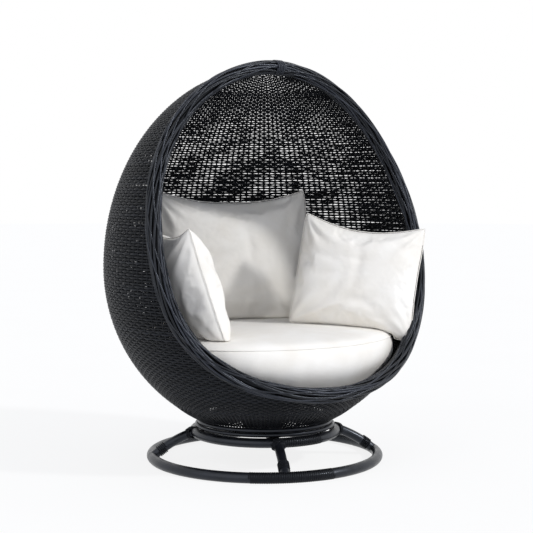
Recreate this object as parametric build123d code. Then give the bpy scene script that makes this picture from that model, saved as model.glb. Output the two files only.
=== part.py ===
from build123d import *

import math
import os

# A pod chair: an egg-shaped woven shell with a big oval opening, a round seat cushion and three
# pillows. The shell turns on a swivel over a base of two pole rings joined by four splayed legs.
# Millimetres. +Z is up, the origin is on the floor under the swivel's axis and the opening looks
# towards -Y.

os.makedirs("parts", exist_ok=True)

# ---------------------------------------------------------------------------------------------
# Driving dimensions
# ---------------------------------------------------------------------------------------------

# Base: pole rings and legs
floor_ring_radius = 425.0       # centreline
floor_pole_radius = 19.5
floor_planing = 1.0             # taken off the underside, so the ring stands flat
top_ring_radius = 266.0         # centreline
top_pole_radius = 17.5
top_ring_height = 109.0         # centreline above the floor
leg_count = 4
leg_radius = 16.0
leg_arch = 10.0                 # how far a leg's middle rises off the straight line
leg_turn = -23.0                # degrees from the chair's front to the front leg
pole_sides = 12                 # flats that stand for a pole's round section

# Shell: two half ellipsoids of revolution that meet at the belt
shell_radius = 602.0
belt_height = 725.0
crown_rise = 750.0              # belt to the top
bowl_depth = 620.0              # belt to where the bowl's curve would close
skin_thickness = 8.0
skin_bottom = 159.0
seam_height = 270.0             # where the bowl's weave ends and the hood's begins

# Opening, as the shell is seen from its side
lip_height = 300.0
cheek_height = 700.0
cheek_forward = 268.0           # how far the opening lies in front of the axis there
crown_forward = 22.0            # the same at the shell's top

# Rim: a flattened bundle of canes round the opening
rim_half_width = 30.0           # along the shell
rim_half_thickness = 20.0       # through the shell
rim_sides = 9
rim_spans = 5                   # biarcs from the lip to the crown

# Foot ring and seat deck inside the shell
foot_ring_radius = 242.0        # centreline
foot_pole_radius = 9.0
foot_ring_sides = 8
hoop_bottom = 254.0             # the flat hoop inside the bowl that carries the slats
hoop_depth = 16.0
hoop_thickness = 6.0
slat_width = 45.0
slat_thickness = 12.0
slat_count = 9
slat_pitch = 80.0

# Swivel
bar_width = 44.0
bar_thickness = 6.0
plate_size = 150.0
plate_thickness = 4.0
boss_radius = 56.0
boss_rise = 8.0
glide_outer_radius = 52.0
glide_inner_radius = 30.0
glide_thickness = 7.0
glide_recess = 3.0              # depth of the boss's collar round the glide
hub_radius = 50.0
kingpin_radius = 8.0
kingpin_head_radius = 12.0
kingpin_head_gap = 1.5          # round the head, in the shell's crossbars
kingpin_head_height = 5.0
washer_radius = 15.0
washer_thickness = 2.0
nut_width = 24.0                # across flats
nut_height = 12.0
kingpin_end = 4.0               # how far the kingpin stands out of its nut

# Cane windings
wrap_cane_radius = 2.5
wrap_pitch = 6.2
floor_wrap_turns = 6
floor_wrap_bearing = 22.0       # degrees from the front leg to the wrap's middle
top_wrap_turns = 4
top_wrap_bearing = 24.0
lashing_cane_radius = 2.2
lashing_pitch = 5.2
lashing_turns = 2
lashing_from_ring = 22.0        # from the floor ring's side to the lashing's middle
binding_cane_radius = 3.0
binding_pitch = 7.5
binding_turns = 5
binding_offset = 20.0           # from the crown's middle to the binding's
notch_back = 8.0                # how far the weave's notch for the binding runs on into the rim
cane_sides = 4

# Cushions
seat_thickness = 222.0
seat_radius = 485.0
seat_front = 425.0              # how far its fullest edge reaches towards the opening
back_pillow_width = 590.0
back_pillow_height = 540.0
back_pillow_thickness = 170.0
side_pillow_width = 450.0
side_pillow_height = 425.0
side_pillow_thickness = 165.0

# Clearances
seat_gap = 0.3                  # between a piece and what it is set on
running_gap = 0.1               # round the kingpin
clear_hole_gap = 0.3            # round the kingpin where it carries nothing, and round the glide
winding_gap = 0.2               # between a cane and the pole that it goes round
binding_gap = 0.8               # between a cane and the rim's bundle, for its uneven oval

# ---------------------------------------------------------------------------------------------
# Derived places
# ---------------------------------------------------------------------------------------------

floor_ring_height = floor_pole_radius - floor_planing
shell_top = belt_height + crown_rise
foot_ring_height = skin_bottom - foot_pole_radius
base_bar_bottom = top_ring_height - bar_thickness / 2
base_bar_top = base_bar_bottom + bar_thickness
shell_bar_bottom = foot_ring_height - bar_thickness / 2
shell_bar_top = shell_bar_bottom + bar_thickness
boss_top = base_bar_top + plate_thickness + boss_rise
glide_top = boss_top + glide_thickness
slat_bottom = hoop_bottom + hoop_depth
deck_top = slat_bottom + slat_thickness


def leg_bearing(index):
    """Turn about Z, in degrees from +X, of a leg: the front one first, then anticlockwise."""
    return -90.0 + leg_turn + 360.0 / leg_count * index


def write(node, shape):
    export_step(shape, f"parts/{node}.step")


def group(shapes):
    return Compound(children=list(shapes))


# ---------------------------------------------------------------------------------------------
# The egg: radius of its outside, or of a like surface some way inside it
# ---------------------------------------------------------------------------------------------

def egg_radius(height, inset=0.0):
    """Ellipse over the belt and another under it: R = a sqrt(1 - ((z - belt) / b)^2)."""
    rise = crown_rise if height > belt_height else bowl_depth
    share = (height - belt_height) / (rise - inset)
    return (shell_radius - inset) * math.sqrt(max(0.0, 1.0 - share * share))


def egg_curve(inset, low, high, points):
    """Profile of the egg between two heights on one side of the belt, through even turns."""
    rise = (crown_rise if high > belt_height else bowl_depth) - inset
    radius = shell_radius - inset
    first = math.asin((low - belt_height) / rise)
    last = math.asin((high - belt_height) / rise)
    turns = [first + (last - first) * k / (points - 1) for k in range(points)]
    places = [(radius * math.cos(turn), belt_height + rise * math.sin(turn)) for turn in turns]
    slopes = [(-radius * math.sin(turn), rise * math.cos(turn)) for turn in (first, last)]
    return Spline(places, tangents=slopes)


def egg_body(inset, bottom):
    """The solid egg above a height, revolved from its bowl's curve and its hood's."""
    top = belt_height + crown_rise - inset
    bowl = egg_curve(inset, bottom, belt_height, 4)
    hood = egg_curve(inset, belt_height, top, 5)
    axis_line = Line(hood @ 1, (0, bottom))
    floor_line = Line((0, bottom), bowl @ 0)
    return revolve(Plane.YZ * make_face([bowl, hood, axis_line, floor_line]), axis=Axis.Z)


# ---------------------------------------------------------------------------------------------
# The opening's edge, seen from the side, is one arc through three points
# ---------------------------------------------------------------------------------------------

def circle_through(first, second, third):
    """Centre and radius of the circle through three points (y, z)."""
    (ay, az), (by, bz), (cy, cz) = first, second, third
    turn = 2 * (ay * (bz - cz) + by * (cz - az) + cy * (az - bz))
    a2, b2, c2 = ay**2 + az**2, by**2 + bz**2, cy**2 + cz**2
    y = (a2 * (bz - cz) + b2 * (cz - az) + c2 * (az - bz)) / turn
    z = (a2 * (cy - by) + b2 * (ay - cy) + c2 * (by - ay)) / turn
    return (y, z), math.hypot(ay - y, az - z)


lip_point = (-egg_radius(lip_height), lip_height)
cheek_point = (-cheek_forward, cheek_height)
crown_point = (-crown_forward, shell_top)
(opening_y, opening_z), opening_radius = circle_through(lip_point, cheek_point, crown_point)


def opening_forward(height):
    """How far in front of the axis the opening's arc lies at this height."""
    across = math.sqrt(opening_radius**2 - (height - opening_z) ** 2)
    side = 1.0 if cheek_point[0] > opening_y else -1.0
    return -(opening_y + side * across)


def opening_cutter():
    """Everything in front of the opening's arc, right across the shell."""
    beyond = 2 * shell_radius
    arc = ThreePointArc(lip_point, cheek_point, crown_point)
    lines = Polyline(crown_point, (-crown_forward, beyond + shell_top), (-beyond, beyond + shell_top),
                     (-beyond, lip_height), lip_point)
    return extrude(Plane.YZ * make_face([arc, *lines.edges()]), beyond, both=True)


def rim_point(turn):
    """Point where the shell's outside meets the opening, by angle from the lip to the crown."""
    middle = (lip_height + shell_top) / 2
    low, high = 0.2 * shell_radius, 1.3 * shell_radius
    for _ in range(50):
        reach = (low + high) / 2
        x, z = reach * math.sin(turn), middle - reach * math.cos(turn)
        outside = z > shell_top or x**2 + opening_forward(z) ** 2 > egg_radius(z) ** 2
        if outside:
            high = reach
        else:
            low = reach
    x, z = low * math.sin(turn), middle - low * math.cos(turn)
    return Vector(x, -opening_forward(z), z)


def rim_tangent(turn):
    if turn <= 0.0 or turn >= math.pi:
        return Vector(1 if turn <= 0.0 else -1, 0, 0)
    step = 0.002
    return (rim_point(turn + step) - rim_point(turn - step)).normalized()


def egg_normal(point):
    """Outward normal of the egg: the gradient of its ellipsoid."""
    rise = crown_rise if point.Z > belt_height else bowl_depth
    return Vector(point.X / shell_radius**2, point.Y / shell_radius**2,
                  (point.Z - belt_height) / rise**2).normalized()


# ---------------------------------------------------------------------------------------------
# Curves made of tangent arcs
# ---------------------------------------------------------------------------------------------

def biarc(start, start_tangent, end, end_tangent):
    """Two arcs that meet tangentially and match a point and a tangent at each end."""
    chord = end - start
    total = start_tangent + end_tangent
    spread = 2 * (1 - start_tangent.dot(end_tangent))
    along = chord.dot(total)
    if spread < 1e-9:
        reach = chord.dot(chord) / (2 * along)
    else:
        reach = (-along + math.sqrt(along**2 + spread * chord.dot(chord))) / spread
    first, second = start + start_tangent * reach, end - end_tangent * reach
    joint = (first + second) * 0.5
    return [
        TangentArc(start, joint, tangent=start_tangent),
        TangentArc(joint, end, tangent=(second - first).normalized()),
    ]


def biarc_wire(points, tangents):
    edges = []
    for index in range(len(points) - 1):
        edges += biarc(points[index], tangents[index], points[index + 1], tangents[index + 1])
    return Wire(edges)


def polygon_on_ellipse(half_width, half_height, sides):
    """Face with its corners evenly spaced on an ellipse."""
    corners = [
        (half_width * math.cos(2 * math.pi * k / sides), half_height * math.sin(2 * math.pi * k / sides))
        for k in range(sides)
    ]
    return make_face(Polyline(*corners, close=True))


def least_turn_gap(place, turns, cane_radius):
    """Least clear distance between points of a winding that lie half a turn or more apart."""
    steps = 24
    points = [place(k / steps) for k in range(int(turns * steps) + 1)]
    nearest = min(
        (points[i] - points[j]).length
        for i in range(len(points))
        for j in range(i + steps // 2, len(points))
    )
    return nearest - 2 * cane_radius


def wind(name, place, turns, cane_radius, spans=2):
    """One unbroken cane along place(turn): biarcs, this many to a turn."""
    small = 1e-3
    stations = [k / spans for k in range(spans * turns + 1)]
    points = [place(turn) for turn in stations]
    tangents = [(place(turn + small) - place(turn - small)).normalized() for turn in stations]
    path = biarc_wire(points, tangents)
    section = Plane(origin=path @ 0, z_dir=path % 0) * RegularPolygon(cane_radius, cane_sides)
    print(f"{name}: least gap between turns {least_turn_gap(place, turns, cane_radius):.2f} mm")
    return sweep(section, path)


# ---------------------------------------------------------------------------------------------
# Base
# ---------------------------------------------------------------------------------------------

def pole_ring(radius, pole_radius, height, sides=pole_sides, arc=360.0):
    """Pole bent to a ring, or to an arc from +X; its flats' corners lie at the pole's radius."""
    profile = Plane.XZ * Pos(radius, height) * RegularPolygon(pole_radius, sides)
    return revolve(profile, axis=Axis.Z, revolution_arc=arc)


def ring_groove(radius, pole_radius, height, bearing, turns):
    """Shallow neck in a pole ring, in which a winding lies flush."""
    length = (turns + 1) * wrap_pitch + 2 * wrap_cane_radius
    arc = math.degrees(length / radius)
    depth = 2 * wrap_cane_radius + winding_gap
    outer = pole_ring(radius, pole_radius + depth, height, arc=arc)
    core = pole_ring(radius, pole_radius - depth, height)
    return Rot(0, 0, bearing - arc / 2) * outer - core


def ring_winding(name, radius, pole_radius, height, bearing, turns):
    """Winding that lies in its groove, flush with the pole."""
    reach = pole_radius - wrap_cane_radius
    start = math.radians(bearing) - turns * wrap_pitch / radius / 2

    def place(turn):
        bow = start + turn * wrap_pitch / radius
        angle = 2 * math.pi * turn + math.pi / 4
        out = radius + reach * math.cos(angle)
        return Vector(out * math.cos(bow), out * math.sin(bow), height + reach * math.sin(angle))

    return wind(name, place, turns, wrap_cane_radius)


def floor_cut():
    """Everything below the floor."""
    size = 3 * floor_ring_radius
    return Pos(0, 0, -size / 2) * Box(size, size, size)


floor_wrap_turn = leg_bearing(0) + floor_wrap_bearing
top_wrap_turn = leg_bearing(0) + top_wrap_bearing

floor_ring_whole = pole_ring(floor_ring_radius, floor_pole_radius, floor_ring_height)
top_ring_whole = pole_ring(top_ring_radius, top_pole_radius, top_ring_height)
floor_ring = floor_ring_whole - floor_cut() - ring_groove(
    floor_ring_radius, floor_pole_radius, floor_ring_height, floor_wrap_turn, floor_wrap_turns)
base_top_ring = top_ring_whole - ring_groove(
    top_ring_radius, top_pole_radius, top_ring_height, top_wrap_turn, top_wrap_turns)
floor_ring_wrap = ring_winding(
    "floor_ring_wrap", floor_ring_radius, floor_pole_radius, floor_ring_height, floor_wrap_turn,
    floor_wrap_turns) - floor_cut()
top_ring_wrap = ring_winding(
    "top_ring_wrap", top_ring_radius, top_pole_radius, top_ring_height, top_wrap_turn, top_wrap_turns)

write("floor_ring", floor_ring)
write("floor_ring_wrap", floor_ring_wrap)
write("base_top_ring", base_top_ring)
write("top_ring_wrap", top_ring_wrap)

# A leg in the XZ plane, arched from the top ring's centreline to the floor ring's, coped to both.
leg_arc = Plane.XZ * SagittaArc((top_ring_radius, top_ring_height),
                                (floor_ring_radius, floor_ring_height), leg_arch)
leg_section = Plane(origin=leg_arc @ 0, z_dir=leg_arc % 0) * RegularPolygon(leg_radius, pole_sides)
leg = sweep(leg_section, leg_arc) - floor_ring_whole - top_ring_whole
leg = leg.solids().sort_by(SortBy.VOLUME)[-1]


def leg_lashing(name, middle):
    """Winding round the leg, centred at a length along it from the top ring's centreline."""
    reach = leg_radius + winding_gap + lashing_cane_radius
    start = middle - lashing_turns * lashing_pitch / 2
    side = Vector(0, 1, 0)

    def place(turn):
        share = (start + turn * lashing_pitch) / leg_arc.length
        angle = 2 * math.pi * turn
        up = side.cross(leg_arc % share)
        return leg_arc @ share + side * (reach * math.cos(angle)) + up * (reach * math.sin(angle))

    return wind(name, place, lashing_turns, lashing_cane_radius)


foot_lashing = leg_lashing("leg_foot_lashings", leg_arc.length - floor_pole_radius - lashing_from_ring)
leg_names = ["leg_front", "leg_right", "leg_back", "leg_left"]
for index, leg_name in enumerate(leg_names):
    write(leg_name, Rot(0, 0, leg_bearing(index)) * leg)
write("leg_foot_lashings", group(
    Rot(0, 0, leg_bearing(index)) * foot_lashing for index in range(leg_count)))

# ---------------------------------------------------------------------------------------------
# Swivel
# ---------------------------------------------------------------------------------------------

def disc(radius, bottom, height):
    return Pos(0, 0, bottom) * Cylinder(radius, height, align=(Align.CENTER, Align.CENTER, Align.MIN))


def crossbars(bottom, length, bore_radius, turn, ring_solid):
    """Two flat bars crossed and welded, coped to the inside of a pole ring."""
    bar = Pos(0, 0, bottom + bar_thickness / 2) * Box(length, bar_width, bar_thickness)
    cross = Rot(0, 0, turn) * (bar + Rot(0, 0, 90) * bar)
    cross = cross - disc(bore_radius, bottom, bar_thickness) - ring_solid
    return cross.solids().sort_by(SortBy.VOLUME)[-1]


def square_plate(bottom, turn):
    plate = Pos(0, 0, bottom + plate_thickness / 2) * Box(plate_size, plate_size, plate_thickness)
    return Rot(0, 0, turn) * plate


base_turn = leg_bearing(0)
shell_turn = 45.0
pin_hole_radius = kingpin_radius + running_gap
loose_hole_radius = kingpin_radius + clear_hole_gap

base_crossbars = crossbars(base_bar_bottom, 2 * top_ring_radius, loose_hole_radius, base_turn,
                           top_ring_whole)

collar_top = boss_top + glide_recess
lower_plate = square_plate(base_bar_top, base_turn)
lower_plate += disc(boss_radius, base_bar_top, collar_top - base_bar_top)
lower_plate -= disc(glide_outer_radius + clear_hole_gap, boss_top, glide_recess)
lower_plate -= disc(pin_hole_radius, base_bar_top, boss_top - base_bar_top)

glide_ring = disc(glide_outer_radius, boss_top, glide_thickness) - disc(
    glide_inner_radius, boss_top, glide_thickness)

upper_plate = square_plate(shell_bar_bottom - plate_thickness, shell_turn)
upper_plate += disc(hub_radius, glide_top, shell_bar_bottom - glide_top)
upper_plate -= disc(pin_hole_radius, glide_top, shell_bar_bottom - glide_top)

washer_bottom = base_bar_bottom - washer_thickness
nut_bottom = washer_bottom - nut_height
kingpin_bottom = nut_bottom - kingpin_end
kingpin_head_bottom = shell_bar_bottom + seat_gap
kingpin = disc(kingpin_radius, kingpin_bottom, kingpin_head_bottom - kingpin_bottom)
kingpin += disc(kingpin_head_radius, kingpin_head_bottom, kingpin_head_height)
kingpin_washer = disc(washer_radius, washer_bottom, washer_thickness) - disc(
    loose_hole_radius, washer_bottom, washer_thickness)
nut_body = extrude(Pos(0, 0, nut_bottom) * RegularPolygon(nut_width / 2, 6, major_radius=False),
                   nut_height)
kingpin_nut = nut_body - disc(pin_hole_radius, nut_bottom, nut_height)

write("base_crossbars", base_crossbars)
write("swivel_lower_plate", lower_plate)
write("glide_ring", glide_ring)
write("swivel_upper_plate", upper_plate)
write("kingpin", kingpin)
write("kingpin_washer", kingpin_washer)
write("kingpin_nut", kingpin_nut)

# ---------------------------------------------------------------------------------------------
# Shell
# ---------------------------------------------------------------------------------------------

foot_profile = Plane.XZ * Pos(foot_ring_radius, foot_ring_height) * Rot(0, 0, 180 / foot_ring_sides) * (
    RegularPolygon(foot_pole_radius, foot_ring_sides, major_radius=False))
foot_ring = revolve(foot_profile, axis=Axis.Z)
shell_crossbars = crossbars(shell_bar_bottom, 2 * foot_ring_radius,
                            kingpin_head_radius + kingpin_head_gap, shell_turn, foot_ring)

rim_turns = [math.pi * k / rim_spans for k in range(rim_spans + 1)]
rim_path = biarc_wire([rim_point(turn) for turn in rim_turns], [rim_tangent(turn) for turn in rim_turns])
lip_normal = egg_normal(rim_point(0.0))
rim_section = Plane(origin=rim_path @ 0, z_dir=rim_path % 0, x_dir=lip_normal.cross(rim_path % 0)) * (
    polygon_on_ellipse(rim_half_width, rim_half_thickness, rim_sides))
rim_half = sweep(rim_section, rim_path)
rim_canes = (rim_half + rim_half.mirror(Plane.YZ)).solid()

skin = egg_body(0.0, skin_bottom) - egg_body(skin_thickness, skin_bottom - skin_thickness)
big = 4 * shell_radius
below_seam = Pos(0, 0, seam_height - big / 2) * Box(big, big, big)
woven_bowl = skin & below_seam
woven_hood = skin - below_seam - opening_cutter() - rim_canes
binding_length = (binding_turns + 1) * binding_pitch
binding_depth = 2 * (2 * binding_cane_radius + binding_gap)
notch_middle = -crown_forward + rim_half_width + binding_depth / 2
binding_notch = Pos(binding_offset, notch_middle, shell_top) * Box(
    binding_length, binding_depth + notch_back, 2 * rim_half_thickness)
woven_hood = (woven_hood - binding_notch).solids().sort_by(SortBy.VOLUME)[-1]

hoop_outer_radius = egg_radius(hoop_bottom, skin_thickness) - seat_gap
seat_hoop = disc(hoop_outer_radius, hoop_bottom, hoop_depth) - disc(
    hoop_outer_radius - hoop_thickness, hoop_bottom, hoop_depth)
slat_wall_radius = egg_radius(slat_bottom, skin_thickness) - seat_gap


def seat_slat(y):
    """Flat slat across the hoop, its ends cut square where its outer corners meet the wall."""
    half = math.sqrt(slat_wall_radius**2 - (abs(y) + slat_width / 2) ** 2)
    return Pos(0, y, slat_bottom + slat_thickness / 2) * Box(2 * half, slat_width, slat_thickness)


slat_rows = [slat_pitch * (k - (slat_count - 1) / 2) for k in range(slat_count)]
seat_slats = group(seat_slat(y) for y in slat_rows)

write("foot_ring", foot_ring)
write("shell_crossbars", shell_crossbars)
write("woven_bowl", woven_bowl)
write("woven_hood", woven_hood)
write("rim_canes", rim_canes)
write("seat_hoop", seat_hoop)
write("seat_slats", seat_slats)


def rim_binding():
    """Winding round the rim's bundle, beside the middle of the crown."""
    loop_radius = (shell_top - lip_height) / 2
    reach = binding_cane_radius + binding_gap
    start = binding_offset - binding_turns * binding_pitch / 2

    def place(turn):
        angle = 2 * math.pi * turn
        station = math.pi - (start + turn * binding_pitch) / loop_radius
        middle = rim_point(station)
        out = egg_normal(middle)
        across = out.cross(rim_tangent(station))
        return (middle + across * ((rim_half_width + reach) * math.cos(angle))
                + out * ((rim_half_thickness + reach) * math.sin(angle)))

    return wind("rim_binding", place, binding_turns, binding_cane_radius, spans=4)


write("rim_binding", rim_binding())

# ---------------------------------------------------------------------------------------------
# Cushions
# ---------------------------------------------------------------------------------------------

def seat_outline(radius, front, height):
    """Circle whose front is flattened to a gentler arc: four arcs, none over a half circle."""
    side = math.radians(48)
    corner = (radius * math.sin(side), -radius * math.cos(side))
    far = (-corner[0], corner[1])
    flank = math.radians(115)
    right_mid = (radius * math.sin(math.radians(100)), -radius * math.cos(math.radians(100)))
    right_end = (radius * math.sin(math.radians(150)), -radius * math.cos(math.radians(150)))
    edges = [
        ThreePointArc(far, (0, -front), corner),
        ThreePointArc(corner, right_mid, right_end),
        ThreePointArc(right_end, (0, radius), (-right_end[0], right_end[1])),
        ThreePointArc((-right_end[0], right_end[1]), (-right_mid[0], right_mid[1]), far),
    ]
    return Pos(0, 0, height) * make_face(edges)


# Share of the height, share of the radius and share of the front's reach at each level.
seat_levels = [(0.0, 0.80, 0.84), (0.24, 0.85, 0.92), (0.55, 1.0, 1.0), (0.80, 0.985, 0.99),
               (0.93, 0.90, 0.91), (1.0, 0.62, 0.62)]
seat_cushion = loft([
    seat_outline(seat_radius * wide, seat_front * reach, deck_top + seat_thickness * up)
    for up, wide, reach in seat_levels
], ruled=True)


def pillow_outline(width, height, pull, depth):
    """Four arcs between four corners: drawn in where pull is over 0, swollen where it is under."""
    half_w, half_h = width / 2, height / 2
    corners = [(-half_w, -half_h), (half_w, -half_h), (half_w, half_h), (-half_w, half_h)]
    middles = [(0, -half_h + pull), (half_w - pull, 0), (0, half_h - pull), (-half_w + pull, 0)]
    edges = [ThreePointArc(corners[k], middles[k], corners[(k + 1) % 4]) for k in range(4)]
    return Pos(0, 0, depth) * make_face(edges)


# Share of the half thickness, share of the size and pull as a share of the width at each layer.
pillow_layers = [(-1.0, 0.42, -0.030), (-0.80, 0.68, -0.022), (-0.42, 0.89, 0.004), (0.0, 1.0, 0.032),
                 (0.42, 0.89, 0.004), (0.80, 0.68, -0.022), (1.0, 0.42, -0.030)]


def pillow(width, height, thickness):
    """Crowned pillow lying flat, its seam at z = 0: layers that shrink towards each face."""
    return loft([
        pillow_outline(width * size, height * size, pull * width, depth * thickness / 2)
        for depth, size, pull in pillow_layers
    ], ruled=True)


def stand(shape, height, x, y, turn, lean, roll=0.0):
    """Stand a pillow on its edge over (x, y): it faces turn degrees from -Y and leans back."""
    upright = Rot(90, 0, 0) * Rot(0, 0, roll) * shape
    leaned = Rot(-lean, 0, 0) * Pos(0, 0, height / 2) * upright
    return Pos(x, y, seat_top + stand_lift) * Rot(0, 0, turn) * leaned


def settle(shape, carrier):
    """Lower a shape until it is a seat gap above what carries it."""
    for _ in range(settle_steps):
        shape = Pos(0, 0, seat_gap - shape.distance_to(carrier)) * shape
    return shape


seat_top = deck_top + seat_thickness
stand_lift = 40.0
settle_steps = 12
back_pillow = stand(pillow(back_pillow_width, back_pillow_height, back_pillow_thickness),
                    back_pillow_height, 58.0, 322.0, turn=-12.0, lean=12.0)
side_pillow = pillow(side_pillow_width, side_pillow_height, side_pillow_thickness)
right_pillow = stand(side_pillow, side_pillow_height, 298.0, -150.0, turn=-43.0, lean=12.0, roll=-5.0)
left_pillow = stand(side_pillow, side_pillow_height, -300.0, -25.0, turn=84.0, lean=19.0)

write("seat_cushion", seat_cushion)
write("back_pillow", settle(back_pillow, seat_cushion))
write("right_pillow", settle(right_pillow, seat_cushion))
write("left_pillow", settle(left_pillow, seat_cushion))
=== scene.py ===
"""Pod chair: a woven egg-shaped shell on a swivel base of lacquered poles, with off-white cushions.

Everything is in metres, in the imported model's frame: +Z up, the floor at 0, the opening towards -Y.
Each new piece is a grid of points worked out with numpy and put round the CAD bodies.
"""

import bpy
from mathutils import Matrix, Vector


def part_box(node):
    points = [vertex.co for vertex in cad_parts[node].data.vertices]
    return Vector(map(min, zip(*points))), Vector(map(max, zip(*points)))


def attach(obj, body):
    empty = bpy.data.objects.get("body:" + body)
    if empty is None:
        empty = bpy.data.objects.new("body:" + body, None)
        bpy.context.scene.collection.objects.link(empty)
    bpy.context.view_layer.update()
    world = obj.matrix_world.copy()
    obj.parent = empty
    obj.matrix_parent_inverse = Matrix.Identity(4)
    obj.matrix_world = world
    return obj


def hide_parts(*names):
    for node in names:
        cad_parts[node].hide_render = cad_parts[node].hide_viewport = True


bl_info = {
    "name": "Woven pod chair",
    "version": (1, 0, 0),
    "blender": (4, 5, 0),
    "location": "View3D > Sidebar > Pod chair",
    "description": "Builds the woven shell, rim, pole base and cushions of a pod chair around its frame",
    "category": "Add Mesh",
}

import math

import bpy
import numpy as np
from bpy.props import FloatProperty, FloatVectorProperty, IntProperty, PointerProperty
from mathutils import Vector

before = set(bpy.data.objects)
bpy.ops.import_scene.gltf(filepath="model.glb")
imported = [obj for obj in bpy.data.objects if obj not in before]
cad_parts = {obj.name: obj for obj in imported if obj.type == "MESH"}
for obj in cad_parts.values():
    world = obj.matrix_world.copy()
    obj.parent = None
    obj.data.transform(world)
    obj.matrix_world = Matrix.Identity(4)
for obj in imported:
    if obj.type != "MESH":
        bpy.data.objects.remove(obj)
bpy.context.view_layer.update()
TAU = 2 * math.pi
MOST_MOVE = 0.022  # how far filling may move any point of a cover

# Sizes in metres. They are the CAD source's own, except that the crown is 9 mm lower, the bowl's foot
# and its ring 9 mm and 5.5 mm wider, the rim 2.5 mm thicker each way, the seat 4 mm wider and 2 mm
# further forward, and the legs 1.5 mm thicker, all as the photograph shows them.
SHELL_RADIUS = 0.602
BELT = 0.725
CROWN_RISE = 0.741
FOOT_RADIUS = 0.2545
SKIN_BOTTOM = 0.159
SEAM_HEIGHT = 0.270
LIP = 0.300
# The opening seen from the side, as the photograph shows it: how far up from the lip to the crown,
# and how far in front of the axis as a share of the shell's radius. The CAD rim is a single arc
# from the same lip, so at the sides it stands up to 5 cm further forward, and at the crown 4 cm back.
OPENING = ((0.15, 0.4916), (0.333, 0.3763), (0.54, 0.2671), (0.75, 0.1627), (1.0, 0.1076))
SHELL_TOP = BELT + CROWN_RISE
BOWL_DEPTH = (BELT - SKIN_BOTTOM) / math.sqrt(1 - (FOOT_RADIUS / SHELL_RADIUS) ** 2)
RIM_HALF_WIDTH = 0.030
RIM_HALF_THICKNESS = 0.0225
# A ring's radius, its pole's radius and the height of its middle.
FLOOR_RING = (0.425, 0.0195, 0.0185)
TOP_RING = (0.266, 0.0175, 0.109)
FOOT_RING = (0.2475, 0.009, 0.150)
SEAT_RADIUS = 0.489
SEAT_FRONT = 0.427
SEAT_TOP = 0.504
SEAT_UNDERSIDE = 0.2825
LEG_RADIUS = 0.0175
LEG_ARCH = 0.010
LEG_TURN = -23.0  # degrees of the front leg from -Y, seen from above
LEGS = 4
STAKE_INSET = 0.004  # from the shell's surface in to the middle of its stakes
COOL = (0.80, 0.87, 1.0, 1.0)  # the tint of a reflection in lacquer
# Each pillow's width, height and thickness, its turn, lean and roll in degrees, how far it lies
# from the middle of its CAD solid, and how far its lower corner hangs: under 0 for its left one.
PILLOWS = {
    "back_pillow": ((0.630, 0.535, 0.180), (-17.0, 12.0, 0.0), (0.026, -0.004, 0.0), 0.0),
    "right_pillow": ((0.470, 0.430, 0.176), (-44.0, 12.0, -7.0), (0.012, -0.006, -0.002), 0.012),
    "left_pillow": ((0.450, 0.420, 0.188), (83.0, 19.0, 0.0), (0.004, -0.006, -0.008), -0.045),
}


def linear(hex_colour):
    """sRGB hex to linear RGB: below 0.04045 a twelfth and a bit, above it the 2.4 power curve."""
    values = np.array([int(hex_colour[k:k + 2], 16) for k in (1, 3, 5)]) / 255.0
    low = values / 12.92
    high = ((values + 0.055) / 1.055) ** 2.4
    return tuple(np.where(values <= 0.04045, low, high))


# ------------------------------------------------------------------------------------------------
# Settings that a user would change
# ------------------------------------------------------------------------------------------------

class PodWeave(bpy.types.PropertyGroup):
    """The shell's weave and its rim."""
    row_pitch: FloatProperty(name="Row pitch", description="Height of one row of weaving",
                             default=0.0104, min=0.006, max=0.03, unit="LENGTH")
    stakes: IntProperty(name="Stakes", description="Upright stakes round the belt", default=144,
                        min=64, max=320)
    strand: FloatProperty(name="Strand", description="Thickness of a weaving strand",
                          default=0.0042, min=0.002, max=0.008, unit="LENGTH")
    openness: FloatProperty(name="Openness", description="How open the loosest weaving is",
                            default=0.40, min=0.0, max=0.9, subtype="FACTOR")
    rim_canes: IntProperty(name="Rim canes", description="Canes round the rim's bundle", default=14,
                           min=6, max=24)
    colour: FloatVectorProperty(name="Cane colour", description="Stained cane", subtype="COLOR",
                                default=linear("#101114"), min=0.0, max=1.0)


class PodBase(bpy.types.PropertyGroup):
    """Poles, windings and lashings."""
    winding_pitch: FloatProperty(name="Winding pitch", description="From turn to turn of a winding",
                                 default=0.0078, min=0.004, max=0.02, unit="LENGTH")
    lashing_cane: FloatProperty(name="Lashing cane", description="Radius of a lashing's cane",
                                default=0.0023, min=0.001, max=0.005, unit="LENGTH")
    colour: FloatVectorProperty(name="Lacquer colour", description="Lacquered poles",
                                subtype="COLOR", default=linear("#0F1013"), min=0.0, max=1.0)


class PodCushions(bpy.types.PropertyGroup):
    """Seat cushion and pillows."""
    cell: FloatProperty(name="Cloth cell", description="Size of a cloth cell before it is filled",
                        default=0.0085, min=0.004, max=0.03, unit="LENGTH")
    pressure: FloatProperty(name="Filling", description="Pressure that fills the covers",
                            default=4.0, min=0.5, max=12.0)
    colour: FloatVectorProperty(name="Cover colour", description="Off-white cotton canvas",
                                subtype="COLOR", default=linear("#F3F0EA"), min=0.0, max=1.0)


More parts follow.
